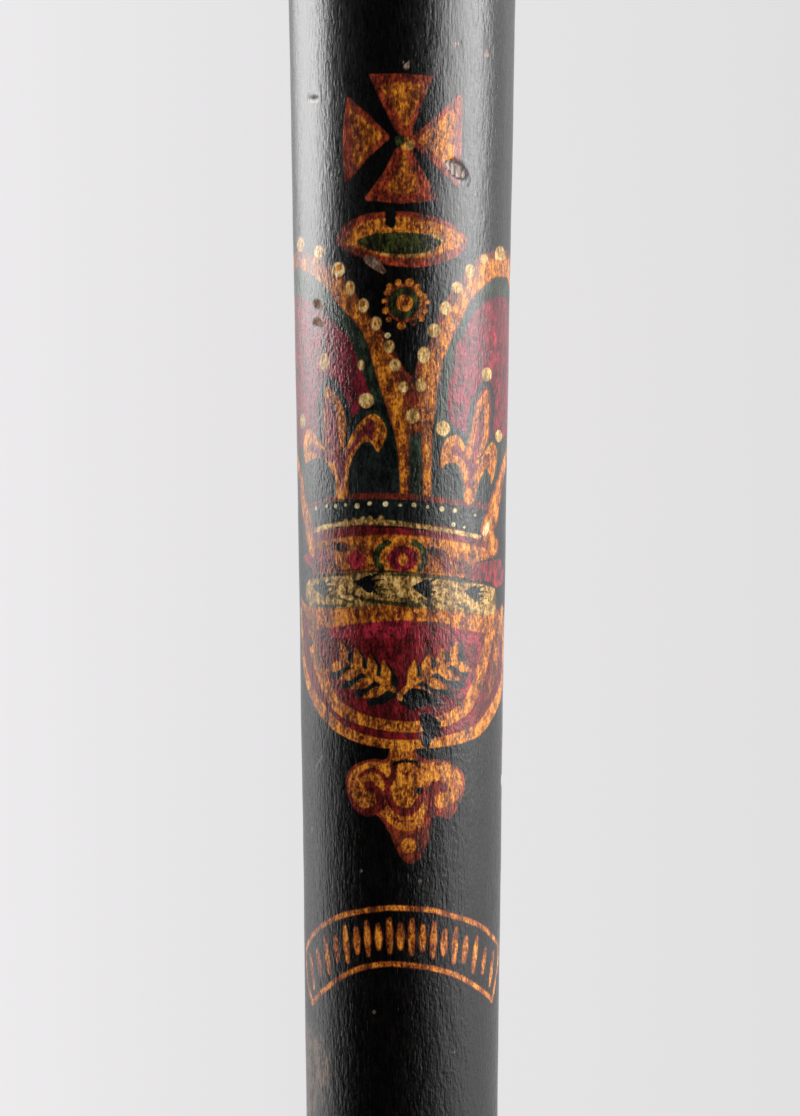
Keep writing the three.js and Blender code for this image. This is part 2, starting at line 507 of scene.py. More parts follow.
def paint_pearls(art):
    for place, radius, stretch in (*PEARLS, *LILY_PEARLS):
        art.dot("pearl", place, radius, stretch)
    for place, radius, stretch in PEARLS[2:6]:
        art.dot("topgilt", place + 0.2j * radius, 0.5 * radius, stretch)
    # A small pale dab: a painted glint, a painted highlight
    art.dot("bead", -29+445j, 6)


def paint_left_lily(art):
    """The left fleur-de-lis: a leaf between two petals, gold round a dark red middle."""
    art.strokes("outline",
        ([-164+220j, -164+306j, -158+342j, -148+358j, -134+344j, -116+312j, -106+276j, -106+240j], 14),
        ([-106+240j, -92+276j, -72+300j, -52+305j, -30+292j, -20+260j, -24+216j, -16+156j], 16))
    art.patch("outline",
        [-112+176j, -100+206j, -80+224j, -58+228j, -46+210j, -28+236j, -12+216j, -5+176j, -4+118j,
         -112+112j],
        [-196+184j, -180+198j, -166+202j, -144+176j, -134+124j, -174+110j, -188+124j])
    art.fill("topgilt",
        [-148+345j, -135+333j, -121+306j, -112+274j, -113+246j, -120+216j, -150+216j, -155+256j,
         -157+306j, -156+332j],
        [-116+216j, -100+249j, -81+274j, -66+286j, -54+288j, -41+278j, -31+256j, -35+234j, -47+212j,
         -56+222j, -64+232j, -81+229j, -94+210j, -104+186j, -108+160j, -109+122j, -130+122j, -133+156j,
         -144+180j, -160+200j, -180+197j, -191+190j, -196+204j, -197+232j, -187+258j, -174+246j,
         -161+226j, -144+212j])
    art.fill("plum",
        [-150+324j, -142+318j, -134+300j, -129+276j, -127+252j, -128+220j, -145+216j, -150+256j,
         -153+296j],
        [-184+228j, -176+228j, -164+216j, -152+212j, -134+206j, -120+204j, -104+222j, -88+250j,
         -76+258j, -80+240j, -100+212j, -112+188j, -116+156j, -123+152j, -129+176j, -142+200j,
         -160+211j, -178+211j, -185+216j],
        [-76+262j, -68+274j, -56+276j, -56+248j, -60+236j, -70+244j])
    art.stroke("scroll", [-46+268j, -43+248j, -49+224j], [4, 6, 4])
    art.strokes("plum",
        ([-136+224j, -128+196j, -122+164j, -120+138j], [16, 18, 14, 6]),
        ([-180+222j, -162+210j, -140+198j], [12, 16, 12]))


def paint_right_lily(art):
    """The right fleur-de-lis, made like the left one."""
    art.strokes("outline",
        ([134+212j, 134+260j, 140+298j, 151+330j, 169+351j, 181+332j, 182+296j, 178+252j], 13),
        ([68+176j, 69+212j, 80+240j, 100+254j, 118+250j, 130+232j], 13),
        ([174+236j, 186+242j, 196+222j, 196+192j, 188+160j], 10))
    art.patch("outline",
        [60+216j, 78+176j, 90+182j, 106+186j, 116+160j, 122+116j, 76+116j, 60+118j],
        [175+176j, 182+148j, 186+138j, 176+106j, 146+110j, 156+148j])
    art.fill("topgilt",
        [167+335j, 152+312j, 144+288j, 138+255j, 131+226j, 134+206j, 152+200j, 165+219j, 172+246j,
         174+284j, 175+307j, 173+330j],
        [105+246j, 90+239j, 81+222j, 77+200j, 78+178j, 89+188j, 106+190j, 117+176j, 123+146j, 126+112j,
         143+112j, 153+150j, 168+178j, 174+168j, 178+148j, 185+168j, 190+200j, 189+220j, 180+232j,
         169+218j, 154+196j, 138+200j, 126+224j, 116+241j])
    art.fill("plum",
        [164+310j, 158+296j, 153+272j, 147+240j, 145+216j, 152+212j, 159+230j, 163+266j, 165+296j],
        [108+228j, 100+220j, 99+206j, 114+202j, 126+188j, 132+160j, 135+144j, 144+168j, 160+191j,
         175+202j, 176+210j, 166+206j, 154+190j, 136+192j, 122+212j])
    art.stroke("plum", [160+292j, 154+256j, 148+220j, 140+184j, 136+144j], [8, 14, 16, 16, 8])


# The rim of the crown

RIM_TOP = [-182+104j, -133+120j, -63+124j, 20+122j, 72+116j, 146+107j, 180+98j]
BLACK_BAND_TOP = [-181+96j, -133+109j, -63+114j, 20+113j, 72+108j, 133+95j, 178+86j]
BLACK_BAND_FOOT = [-176+64j, -112+68j, -74+75j, -20+74j, 42+69j, 87+64j, 133+52j, 160+44j]
STRIP_FOOT = [-182+28j, -112+42j, -20+47j, 42+43j, 103+34j, 164+20j, 184+12j]
GEM_BAND_FOOT = [-178-32j, -127-32j, -50-23j, 5-26j, 72-34j, 133-40j, 152-48j]
WHITE_DOTS = [-172+100j, -151+103j, -133+104j, -113+106j, -65+109j, -4+106j, 24+106j, 51+102j, 106+95j,
    146+86j, 103+67j, 125+62j]
WHITE_DABS = [-90+104j, -33+108j, 80+98j]


def paint_rim(art):
    art.patch("outline", [*BLACK_BAND_TOP, 173+74j, 161+62j, *BLACK_BAND_FOOT[::-1]])
    art.patch("scarlet", [*BLACK_BAND_FOOT, *STRIP_FOOT[::-1]])
    art.stroke("glaze", RIM_TOP, [10, 12, 11, 12, 14])
    for i, place in enumerate(WHITE_DOTS):
        art.dot("bead", place, 4.2 + 0.8 * math.sin(3.3 * i))
    for place in WHITE_DABS:
        art.dot("bead", place, 5.6)
    art.stroke("cream", [-176+54j, -154+62j, -112+68j, -81+72j, -20+70j, 29+64j, 72+58j, 127+48j,
        156+41j], [10, 11, 10, 8.8, 8.8])
    # Paler ends to the cream line: painted highlights where the side lights fall on it
    art.strokes("pearl",
        ([-176+54j, -154+62j, -124+67j], [7.2, 8, 4]),
        ([68+59j, 127+48j, 156+41j], [4, 6.8, 6]))
    for place in [-112+74j, -96+76j, -78+79j, -64+80j, -42+81j]:
        art.dot("cream", place, 4.6)
    art.stroke("ink", [-132+61j, -104+64j, -64+63j, -2+61j, 56+54j], 4)
    art.patch("bead", [178+80j, 166+66j, 160+48j, 166+42j, 174+56j])


def paint_gem_band(art):
    outline = [*STRIP_FOOT, 184+4j, 148-8j, 136-38j, *GEM_BAND_FOOT[::-1]]
    art.patch("bole", outline)
    art.patch("gilt", outline)
    art.strokes("wash",
        ([-172+18j, -114+22j, -60+12j], [12, 20, 16]),
        ([-136-24j, -84-20j, -34-16j], [16, 16, 12]),
        ([52+12j, 88-10j, 136-24j], [24, 40, 24]))
    art.stroke("topgilt", [76+30j, 128+20j, 172+8j], [10, 18, 14])
    art.patch("gem",
        [-200+0j, -173+16j, -142+12j, -135-3j, -148-18j, -161-34j, -179-22j],
        [144-18j, 161-8j, 196-1j, 204-28j, 202-50j, 188-60j, 179-49j, 136-41j],
        [-116-3j, -104+9j, -92+17j, -81+9j, -68-3j, -80-14j, -91-27j, -103-16j])
    art.dot("gem", 1-1j, 29.6, 0.84)
    art.dot("topgilt", 2-3j, 8.6, 1.5)
    art.strokes("leaf",
        ([-28+31j, -46+18j, -52-4j, -40-22j], [12, 15, 12]),
        ([23+31j, 39+20j, 45-4j, 35-23j], [12, 15, 12]))
    art.dot("ink", -127+22j, 7, 1.2)
    art.dot("ink", 61+14j, 6, 1.8)
    art.dot("gem", 137+17j, 9.2, 0.9)
    art.strokes("glaze",
        ([70+16j, 84-4j, 92-26j], [8, 30, 12]),
        ([106-4j, 120-18j, 128-34j], [10, 18, 10]),
        ([-168-18j, -144-8j, -118-26j, -60-16j], [10, 14, 6, 6]),
        ([136+17j, 160+12j, 178+2j], [12, 6, 8]))


ERMINE_TOP = [-185-42j, -127-35j, -81-29j, -1-29j, 42-35j, 103-46j, 164-53j, 186-61j]
ERMINE_FOOT = [-186-96j, -142-102j, -81-98j, -20-93j, 35-101j, 103-105j, 164-116j, 188-111j]
GOLD_BAND_FOOT = [-196-108j, -172-142j, -142-138j, -82-130j, -20-128j, 36-132j, 102-141j, 164-150j,
    202-156j]


# The roots of the pale hairs in the fur, and how far a hair runs
ERMINE_HAIRS = [-168-84j, -152-48j, -120-76j, -36-44j, -28-68j, -8-60j, 24-44j, 68-78j, 84-64j, 92-92j,
    120-84j, 136-98j, 152-84j, 96-52j]
HAIR_RUN = 30-10j


def ermine_tail(art, tip, length, drop):
    """A black tail that lies with its point to the left and its tufts to the right."""
    waist = tip + complex(0.62 * length, -drop)
    upper = tip + length * (0.55 + 0.26j)
    lower = tip + length * (0.6 - 0.38j) - 1j * drop
    art.patch("ink", [tip, upper, waist, lower])
    for share in (-1, -0.35, 0.3, 0.95):
        tuft = tip + length * complex(1 - 0.1 * abs(share), 0.42 * share) - 1j * drop
        root = tip + length * complex(0.45, 0.1 * share) - 0.5j * drop
        art.stroke("ink", [root, tuft], [0.09 * length + 3.5, 3], False)


def paint_ermine(art):
    outline = [*ERMINE_TOP, 189-84j, *ERMINE_FOOT[::-1], -192-80j, -192-56j]
    art.patch("cream", outline)
    art.strokes("umber",
        ([-180-93j, -148-97j, -112-94j], [5, 8, 5]),
        ([-112-68j, -70-84j, 6-93j, 36-97j], [5, 8, 10, 6]),
        ([72-88j, 112-96j, 152-106j], [5, 8, 5]),
        ([-70-55j, -36-64j, -4-78j, 36-94j], [5, 8, 5]),
        ([-172-38j, -124-33j, -60-31j, 6-33j, 76-39j, 136-50j], [6, 5, 8, 5]),
        ([36-82j, 52-92j, 64-100j], [8, 12, 6]),
        ([-168-68j, -124-80j, -100-88j], [4.8, 6.8, 4.8]))
    for root in ERMINE_HAIRS:
        art.stroke("pearl", [root, root + HAIR_RUN], [7.2, 3.2], False)
    ermine_tail(art, -180-57j, 46, 5)
    ermine_tail(art, -97-48j, 62, 3)
    ermine_tail(art, 17-57j, 62, 5)
    ermine_tail(art, 122-66j, 50, 8)


def paint_gold_band(art):
    outline = [*ERMINE_FOOT, 204-120j, *GOLD_BAND_FOOT[::-1], -204-76j, -192-92j]
    art.patch("bole", outline)
    art.patch("gilt", outline)
    for place in [-150-118j, -90-112j, -48-114j, -6-110j, 26-120j, 120-128j]:
        art.dot("glaze", place, 4.8, 2.6)
    art.stroke("glaze", [20-128j, 68-132j, 100-138j], [4, 10, 6])


# The crimson field under the rim, with its double gold border

INNER_BORDER = [-180-127j, -180-152j, -175-188j, -165-222j, -149-264j, -130-295j, -98-316j, -66-327j,
    -27-335j, 20-338j, 62-332j, 109-313j, 133-291j, 152-248j, 163-209j, 172-173j, 177-144j]
OUTER_BORDER = [-202-104j, -200-164j, -195-220j, -180-270j, -159-305j, -134-334j, -98-355j, -55-368j,
    -5-373j, 36-372j, 70-369j, 116-359j, 155-341j, 180-305j, 198-263j, 204-227j, 205-164j, 200-104j]


def paint_field(art):
    art.patch("scarlet", [*OUTER_BORDER, 196-134j, 102-128j, -20-116j, -124-124j, -196-116j])
    art.strokes("topgilt",
        (INNER_BORDER, [32, 34, 26, 22, 22, 26, 32, 28]),
        (OUTER_BORDER, [16, 20, 26, 20, 18, 18, 24, 28, 28, 24]))
    # The second stroke, brighter red down the field's right side, is painted light: that side is lit more
    # from the right
    art.strokes("gem",
        ([-144-152j, -84-146j, -4-142j, 76-148j, 152-164j], [16, 28, 36, 32, 16]),
        ([158-168j, 150-208j, 134-252j, 116-278j], [12, 20, 20, 10]))
    side = [190-120j, 189-184j, 182-236j, 168-278j]
    art.stroke("bole", side, [36, 40, 32, 16])
    art.stroke("gilt", side, [24, 26, 18, 8])
    art.stroke("wash", side, [18, 20, 16, 8])


# The left sprig's stem runs from its foot to its tip. The right one is its mirror image about the middle.
SPRIG_FOOT, SPRIG_TIP = -16-264j, -122-204j
SPRIG_MIDDLE = -6
SPRIG_SHADE = 10-12j
STEM_BEND = 16

# A sprig's leaves: where along the stem the first pair and the next ones grow, how long the first are and
# how much shorter each pair gets, and the stem's direction and how far a leaf turns from it, in degrees
LEAF_PAIRS = 4
FIRST_LEAF, LEAF_GAP = 0.1, 0.27
LEAF_LENGTH, LEAF_SHORTER = 54, 4
STEM_DIRECTION, LEAF_TURN = 152, 50


def leaf_lines(pair):
    """The two leaves of a pair, each from its root to its end."""
    root = SPRIG_FOOT + (SPRIG_TIP - SPRIG_FOOT) * (FIRST_LEAF + LEAF_GAP * pair)
    size = LEAF_LENGTH - LEAF_SHORTER * pair
    leans = (math.radians(STEM_DIRECTION - way * LEAF_TURN) for way in (1, -1))
    ends = [root + size * cmath.exp(1j * lean) for lean in leans]
    return [(root, (root + end) / 2, end) for end in ends]


def laurel_sprig(art, mirrored):
    """One of the two laurel sprigs on the field, with the black shadow that sets it off."""
    stem = [SPRIG_FOOT + (SPRIG_TIP - SPRIG_FOOT) * t + 1j * STEM_BEND * t * (1 - t) for t in (0, 0.5, 1)]
    leaves = [leaf for pair in range(LEAF_PAIRS) for leaf in leaf_lines(pair)]
    for coat, moved, grow in (("outline", SPRIG_SHADE, 6), ("topgilt", 0, 0)):

        def placed(line):
            return [(2 * SPRIG_MIDDLE - p.conjugate() if mirrored else p) + moved for p in line]

        art.stroke(coat, placed(stem), [11 + grow, 10 + grow, 8 + grow])
        for leaf in leaves:
            art.stroke(coat, placed(leaf), [8 + grow, 21 + grow, 4.8 + grow], False)


def paint_sprigs(art):
    laurel_sprig(art, False)
    laurel_sprig(art, True)
    art.dot("outline", 4-284j, 12)
    art.dot("topgilt", -1-276j, 10)


def paint_pendant(art):
    """The tassel-like ornament that hangs under the field."""
    art.fill("bole", [-20-372j, 24-372j, 28-390j, 52-404j, 68-402j, 96-406j, 120-428j, 126-456j,
        116-488j, 96-521j, 64-514j, 56-536j, 52-568j, 38-598j, 18-612j, 0-600j, -12-580j, -28-544j,
        -50-514j, -72-517j, -96-496j, -110-468j, -111-436j, -96-414j, -60-402j, -36-404j, -26-392j])
    art.fill("topgilt", [-22-372j, 22-372j, 22-390j, 34-407j, 52-411j, 70-406j, 94-411j, 116-432j,
        121-456j, 114-480j, 96-494j, 76-500j, 60-496j, 44-514j, 40-538j, 16-546j, -8-542j, -32-524j,
        -48-508j, -72-508j, -94-490j, -105-464j, -105-438j, -92-420j, -60-407j, -32-411j, -22-396j])
    art.fill("wash", [-32-536j, 0-550j, 28-548j, 56-528j, 52-564j, 38-596j, 18-610j, 0-598j, -16-568j])
    art.dot("topgilt", 14-575j, 15.6)
    paint_pendant_scrolls(art)


def paint_pendant_scrolls(art):
    """The dark red scrollwork over the pendant's gilding."""
    art.dot("scroll", -64-457j, 12)
    art.strokes("scroll",
        ([-62-458j, -50-466j, -43-484j, -50-502j, -70-508j, -90-500j, -102-482j],
        [18, 16, 18, 18, 16, 12, 8]),
        ([-86-442j, -78-430j, -60-424j, -40-434j, -30-452j], [6, 10, 10, 12]),
        ([-16-412j, -19-440j, -28-456j, -28-478j, -16-498j, 4-509j, 24-502j, 37-482j, 42-462j],
        [12, 12, 14, 16, 17, 16, 12]),
        ([84-460j, 70-457j, 59-468j, 57-490j, 64-512j], [18, 24, 24, 20, 14]),
        ([-4-426j, 8-432j, 18-424j], [4.8, 6, 4.8]),
        ([-36-496j, -20-518j, 4-528j, 28-524j], [4.8, 6, 4.8]))
    art.stroke("umber", [78-424j, 88-430j, 92-440j], [6, 10, 6])
    art.stroke("ink", [-18-413j, 6-405j, 32-409j], 6.8)
    art.dot("ink", 35-466j, 6.8, 1.2)


BANNER_HEAD = [-191-780j, -181-757j, -166-740j, -149-729j, -125-717j, -95-709j, -58-703j, -25-700j,
    16-701j, 62-705j, 95-714j, 129-724j, 162-739j, 178-754j, 193-775j]
BANNER_FOOT = [-179-891j, -168-875j, -149-858j, -125-840j, -91-823j, -58-815j, -17-812j, 46-818j,
    79-825j, 112-836j, 145-855j, 170-873j, 180-885j]

BANNER_LEFT = [BANNER_HEAD[0], -191-816j, -188-848j, BANNER_FOOT[0]]
BANNER_RIGHT = [BANNER_HEAD[-1], 192-812j, BANNER_FOOT[-1]]


# The strokes on the banner: how many, how far down between its edges the short and the long ones start,
# pass and end, and how wide they are
BANNER_STROKES = 19
SHORT_STROKE = (0.29, 0.5, 0.71), 15
LONG_STROKE = (0.2, 0.5, 0.8), 14


def paint_banner(art):
    """A scroll with a row of plain fanned strokes along it."""
    for edge in (BANNER_HEAD, BANNER_FOOT, BANNER_LEFT, BANNER_RIGHT):
        art.stroke("bole", edge, 12)
        art.stroke("topgilt", edge, 9.2)
    top, foot = (evenly(edge, BANNER_STROKES + 1) for edge in (BANNER_HEAD, BANNER_FOOT))
    for i in range(BANNER_STROKES):
        high, low = (top[i] + top[i + 1]) / 2, (foot[i] + foot[i + 1]) / 2
        reach, width = SHORT_STROKE if i % 2 else LONG_STROKE
        line = [high + (low - high) * t for t in reach]
        art.stroke("bole", line, [0.7 * width, 1.15 * width, 0.7 * width])
        art.stroke("topgilt", line, [0.5 * width, width, 0.5 * width])


# Chips, nicks and dents


def oval(centre, half_length, half_width, turn):
    """Points round an oval that is turned by some degrees."""
    turned = cmath.exp(1j * math.radians(turn))
    angles = np.linspace(0, 2 * math.pi, 10, endpoint=False)
    points = [complex(half_length * math.cos(a), half_width * math.sin(a)) for a in angles]
    return [centre + turned * p for p in points]


# Pale nicks, with their size
NICKS = (
    (-90+1060j, 4.8), (26+1062j, 4), (9+983j, 6.4), (166+922j, 4), (164+796j, 4), (-180-542j, 5.2),
    (-82-626j, 4), (36-646j, 4), (84-634j, 4), (-56-908j, 4), (10-954j, 4), (-8-1028j, 4),
    (40-1026j, 4), (104-990j, 4.4),
)


def paint_nicks(art):
    rim = oval(170+1012j, 9.2, 8, 0)
    for place, radius in NICKS:
        art.dot("loss", place, radius)
    art.dot("bead", 146-955j, 4.4)
    art.strokes("loss",
        ([2+994j, 8+986j, 14+994j], 3.6),
        ([-172-418j, -158-394j], 3.6),
        ([-188+913j, -168+913j], 5.2))
    art.stroke("ink", [94-960j, 102-978j, 106-994j], 4.4)
    art.strokes("bruise",
        ([106+1032j, 116+1024j], [6, 10, 6]),
        ([*rim, rim[0]], 4.8))


def paint_dents(art):
    dent = oval(108+777j, 26, 14, -38)
    art.fill("bruise", dent)
    lines = [[*dent, dent[0]], [97+794j, 96+774j], [108+786j, 107+764j], [119+780j, 119+756j]]
    # The curve at the dent's right is painted shade in the dent; the other lines are its rim and
    # scratches
    lines += [[126+776j, 136+760j, 132+744j]]
    for line in lines:
        art.stroke("ink", line, 4.4)
        art.stroke(BARE, line, 4.4)
    for centre, turn in ((-168+507j, -50), (-167+471j, -20)):
        pit = oval(centre, 13, 8.4, turn)
        art.fill("bruise", pit)
        art.fill(BARE, pit)
        # A dark edge along one side of each pit: painted shade in the hollow
        art.stroke("ink", pit[5:10], 5.2)
    chip = oval(-176+922j, 10, 5.2, 0)
    art.fill("ink", chip)
    art.fill(BARE, chip)


def paint_wear(art):
    """The flaked patches low on the field, and the losses round them."""
    art.strokes("bruise",
        ([2-276j, 14-266j, 24-282j], 4),
        ([30-262j, 40-278j, 54-268j], 4.4),
        ([64-290j, 80-286j], 4),
        ([44-322j, 52-338j, 48-350j], 4.4),
        ([58-326j, 68-342j], 4))
    art.patch("ink",
        [2-274j, 20-260j, 44-262j, 70-280j, 92-298j, 56-294j, 16-304j, 0-290j],
        [32-316j, 52-308j, 78-328j, 72-352j, 58-366j, 52-388j, 38-372j, 42-346j])
    art.fill(CRAZED, [-8-264j, 20-248j, 56-252j, 100-300j, 82-352j, 52-392j, 32-372j, 36-316j])
    art.dot("ink", -183-168j, 10)


def paint_ageing(art):
    """Where the varnish has crazed, and where handling has thinned it."""
    art.fill(CRAZED,
        [-228+536j, -144+516j, -104+396j, -100+236j, -144+116j, -224+116j],
        [-212+26j, -144+20j, -132-28j, -168-64j, -204-44j],
        [-208-104j, -114-120j, -100-204j, -114-284j, -174-264j])
    art.fill(WORN,
        [-208-936j, -172-952j, -146-1008j, -160-1092j, -208-1134j],
        [212-164j, 222-284j, 218-484j, 210-604j, 202-484j, 202-284j])


def paint_everything(places):
    art = Painting(places)
    for paint in (
        paint_under_arches, paint_field, paint_rim, paint_left_lily, paint_right_lily, paint_arches,
        paint_cross, paint_monde, paint_rosette, paint_pearls, paint_gem_band, paint_ermine,
        paint_gold_band, paint_sprigs, paint_pendant, paint_banner, paint_wear, paint_nicks,
        paint_dents, paint_ageing,
    ):
        paint(art)
    return art.coats


# Dents, pits, chips and flaked patches: centre, half length and half width, turn in degrees, and depth
# in millimetres
HOLLOWS = (
    (110+778j, 30, 14, -38, 0.28), (-168+508j, 10, 8, 60, 0.3), (-169+472j, 12, 7, 20, 0.3),
    (-180+922j, 16, 6, 0, 0.25), (110+1028j, 10, 8, 30, 0.15), (24-278j, 32, 14, -15, 0.1),
    (56-344j, 24, 18, -60, 0.12), (206-444j, 12, 20, 90, 0.4), (98-974j, 28, 6, -62, 0.1),
)

# How far out a hollow starts, in its own half lengths, and how soon it has its full depth
HOLLOW_EDGE = 1.15
HOLLOW_STEEPNESS = 3

# The lathe's slow waves: their lengths in millimetres, how high they are for their length, over what
# length they come and go, and the seed of their order
WAVE_LENGTHS = (60, 34, 21, 13, 9)
WAVE_HEIGHT = 0.0007
WAVE_FADE = 47
WAVE_SEED = 1843


def hollow(places, centre, half_length, half_width, turn, depth):
    """A dent or chip pressed into the surface: an oval at an angle, deepest in its middle."""
    gap = places - np.array(rolled(centre))
    cos, sin = math.cos(math.radians(turn)), math.sin(math.radians(turn))
    along = (gap[:, 0] * cos + gap[:, 1] * sin) / (half_length * TENTH)
    across = (gap[:, 1] * cos - gap[:, 0] * sin) / (half_width * TENTH)
    inside = np.clip(HOLLOW_EDGE - np.hypot(along, across), 0, 1)
    return -depth * np.clip(inside * HOLLOW_STEEPNESS, 0, 1)


def surface_relief(places):
    """Height of the surface above the turned form: slow waves left by the lathe, and the damage."""
    rng = np.random.default_rng(WAVE_SEED)
    relief = np.zeros(len(places))
    for length in WAVE_LENGTHS:
        phase, skew = rng.uniform(0, 2 * math.pi, 2)
        turns = round(rng.uniform(2, 7))
        wave = np.sin(places[:, 1] * 2 * math.pi / length + phase + turns * places[:, 0] / GAUGE_RADIUS)
        relief += WAVE_HEIGHT * length * wave * np.sin(places[:, 1] / WAVE_FADE + skew)
    for damage in HOLLOWS:
        relief += hollow(places, *damage)
    return relief


# The staff's skin: a sheet of places that is then wrapped round the turned form


def sheet_faces(rings, columns):
    """The faces of a net of rings of points, closed by one point at each end."""
    faces = []
    for i in range(rings - 1):
        for j in range(columns):
            here, there = 1 + i * columns + j, 1 + i * columns + (j + 1) % columns
            faces.append((here, here + columns, there + columns, there))
    last = rings * columns + 1
    foot = last - columns
    for j in range(columns):
        faces.append((0, 1 + j, 1 + (j + 1) % columns))
        faces.append((last, foot + (j + 1) % columns, foot + j))
    return faces


def make_sheet():
    """A closed net of points that know where on the staff they are and what is painted there."""
    rows, angles = staff_profile(), column_angles()
    along, radius = (np.repeat([row[i] for row in rows], len(angles)) for i in (0, 1))
    angle = np.tile(angles, len(rows))
    along = np.concatenate([[0], along, [STAFF_LENGTH]])
    radius = np.concatenate([[0], radius, [0]])
    angle = np.concatenate([[0], angle, [0]])
    places = np.stack([barrel_radius(along) * angle, along - FACE_MIDDLE], axis=1)
    mesh = bpy.data.meshes.new("sheet")
    flat = np.stack([places[:, 0], along, np.zeros(len(along))], axis=1)
    mesh.from_pydata((flat * MM).tolist(), [], sheet_faces(len(rows), len(angles)))
    barrel = along > BARREL_START
    values = {name: np.where(barrel, field, FAR) for name, field in paint_everything(places).items()}
    values["along"], values["radius"] = along * MM, radius * MM
    values["angle"] = angle
    values["relief"] = np.where(barrel, surface_relief(places), 0) * MM
    for name, value in values.items():
        layer = mesh.attributes.new(name, "FLOAT", "POINT")
        layer.data.foreach_set("value", value.astype(np.float32))
    return mesh


def add(tree, kind, inputs=None, **settings):
    """Adds a node. An input is given a value, or the socket that feeds it."""
    node = tree.nodes.new(kind)
    for name, value in settings.items():
        setattr(node, name, value)
    for name, value in (inputs or {}).items():
        if isinstance(value, bpy.types.NodeSocket):
            tree.links.new(value, node.inputs[name])
        else:
            node.inputs[name].default_value = value
    return node


def maths(tree, operation, a, b=0.0, c=0.0):
    return add(tree, "ShaderNodeMath", {0: a, 1: b, 2: c}, operation=operation).outputs[0]


def remap(tree, value, low, high, to_low=0.0, to_high=1.0, kind="LINEAR"):
    """The value carried from one range to another, and held within it."""
    inputs = {"Value": value, "From Min": low, "From Max": high, "To Min": to_low, "To Max": to_high}
    return add(tree, "ShaderNodeMapRange", inputs, interpolation_type=kind).outputs[0]


def painted(tree, name):
    """What the surface knows of a coat: the distance from its edge."""
    return add(tree, "ShaderNodeAttribute", attribute_name=name).outputs["Fac"]


def object_place(tree, axis):
    """Where a point is along one axis of its object, in metres."""
    where = add(tree, "ShaderNodeTexCoord").outputs["Object"]
    return add(tree, "ShaderNodeSeparateXYZ", {0: where}).outputs[axis]


def new_socket(tree, name, kind, way="INPUT", default=None):
    socket = tree.interface.new_socket(name=name, in_out=way, socket_type=kind)
    if default is not None:
        socket.default_value = default
    return socket.identifier


def turning_tree():
    """Geometry nodes that wrap the sheet round the axis and lay the staff on its flats."""
    tree = bpy.data.node_groups.new("turned staff", "GeometryNodeTree")
    new_socket(tree, "Sheet", "NodeSocketGeometry")
    lengths = ("Slope", "Axis Height", "Half Run")
    names = {name: new_socket(tree, name, "NodeSocketFloat") for name in lengths}
    names["Finish"] = new_socket(tree, "Finish", "NodeSocketMaterial")
    new_socket(tree, "Staff", "NodeSocketGeometry", "OUTPUT")
    given = add(tree, "NodeGroupInput").outputs
    stored = {}
    for name in ("along", "radius", "angle", "relief"):
        reader = add(tree, "GeometryNodeInputNamedAttribute", {"Name": name}, data_type="FLOAT")
        stored[name] = reader.outputs["Attribute"]
    reach = maths(tree, "ADD", stored["radius"], stored["relief"])
    across = maths(tree, "MULTIPLY", reach, maths(tree, "SINE", stored["angle"]))
    rise = maths(tree, "MULTIPLY", reach, maths(tree, "COSINE", stored["angle"]))
    sine, cosine = maths(tree, "SINE", given["Slope"]), maths(tree, "COSINE", given["Slope"])
    run = maths(tree, "SUBTRACT", maths(tree, "MULTIPLY", stored["along"], cosine), given["Half Run"])
    length = maths(tree, "SUBTRACT", run, maths(tree, "MULTIPLY", rise, sine))
    lift = maths(tree, "MULTIPLY_ADD", stored["along"], sine, given["Axis Height"])
    height = maths(tree, "MAXIMUM", maths(tree, "MULTIPLY_ADD", rise, cosine, lift), 0.0)
    place = add(tree, "ShaderNodeCombineXYZ", {"X": across, "Y": length, "Z": height}).outputs[0]
    wrapped = add(tree, "GeometryNodeSetPosition", {"Geometry": given["Sheet"], "Position": place})
    plain = add(tree, "GeometryNodeRealizeInstances", {"Geometry": wrapped.outputs[0]})
    inputs = {"Geometry": plain.outputs[0], "Material": given["Finish"]}
    finished = add(tree, "GeometryNodeSetMaterial", inputs)
    add(tree, "NodeGroupOutput", {"Staff": finished.outputs[0]})
    return tree, names


def make_staff(finish):
    draft = new_object("draft", make_sheet())
    tree, names = turning_tree()
    modifier = draft.modifiers.new("turning", "NODES")
    modifier.node_group = tree
    modifier[names["Slope"]] = SLOPE
    modifier[names["Axis Height"]] = AXIS_HEIGHT * MM
    modifier[names["Half Run"]] = HALF_RUN * MM
    modifier[names["Finish"]] = finish
    graph = bpy.context.evaluated_depsgraph_get()
    evaluated = draft.evaluated_get(graph)
    mesh = bpy.data.meshes.new_from_object(evaluated, preserve_all_data_layers=True, depsgraph=graph)
    bpy.data.objects.remove(draft)
    mesh.name = "painted_staff"
    mesh.shade_smooth()
    return new_object("painted_staff", mesh)


# Finishes

# Between which values of the brush marks a colour goes from deep to body, and from body to bright
DEEP_UNTIL, BODY_AT, BRIGHT_FROM = 0.37, 0.5, 0.65

# How gradually a rubbed coat gives way, in the measure of the noise that rubs it
RUB_BLUR = 0.13

# Marks drawn out along the grain: their width in metres, how much longer they are, the shift that tells
# them apart, and their roughness
MARKS = {
    "fine": (0.0004, 1.8, 1, 0.6),
    "broad": (0.0013, 2.2, 2, 0.7),
    "flecks": (0.0009, 1.9, 3, 0.7),
    "patches": (0.0014, 1.6, 8, 0.75),
    "grain": (0.0005, 5, 4, 0.6),
    "ripple": (0.0022, 2.8, 5, 0.6),
    "pebbles": (0.0006, 1.5, 6, 0.5),
    "cracks": (0.00035, 5, 7, 0.5),
}

# How much the fine marks add to the broad ones in a coat's brush marks
FINE_SHARE = 0.65
THIN_COATS = ("glaze", "wash")

